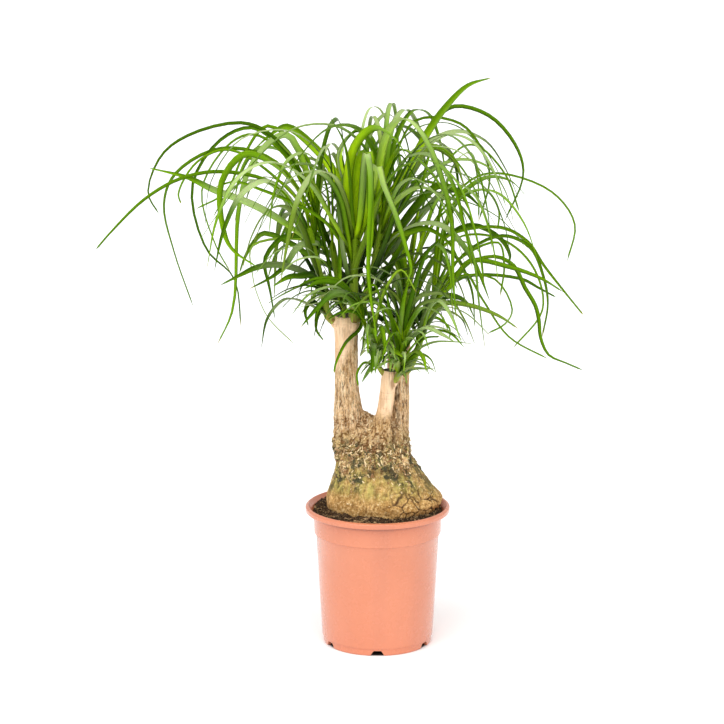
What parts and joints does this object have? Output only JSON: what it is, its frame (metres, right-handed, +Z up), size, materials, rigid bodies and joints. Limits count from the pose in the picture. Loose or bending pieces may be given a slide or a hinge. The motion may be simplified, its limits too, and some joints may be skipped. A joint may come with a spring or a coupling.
{
  "type": "potted ponytail palm",
  "caption": "Potted ponytail palm: a swollen trunk with cut stems and arching strap leaves, standing in a tapered plastic nursery pot.",
  "frame": {"origin": "middle of the flat disc under the pot, which rests on the surface", "axes": "+Z up along the pot's axis, -Y towards the side seen in the picture, +X to the right of that view"},
  "size_m": [0.6265, 0.4635, 0.7464],
  "materials": {
    "pot_plastic": "satin",
    "peat": "matte",
    "bark": "matte",
    "leaf": "satin"
  },
  "bodies": {
    "root": {"pot": "pot_plastic", "soil": "peat", "trunk": "bark", "shoot_left_outer": "leaf", "shoot_left_tall": "leaf", "shoot_left_inner": "leaf", "shoot_left_small": "leaf", "shoot_left_back": "leaf", "shoot_front_left": "leaf", "shoot_front_right": "leaf", "shoot_right_leaning": "leaf", "shoot_back_top": "leaf", "shoot_back_low": "leaf"}
  },
  "joints": []
}
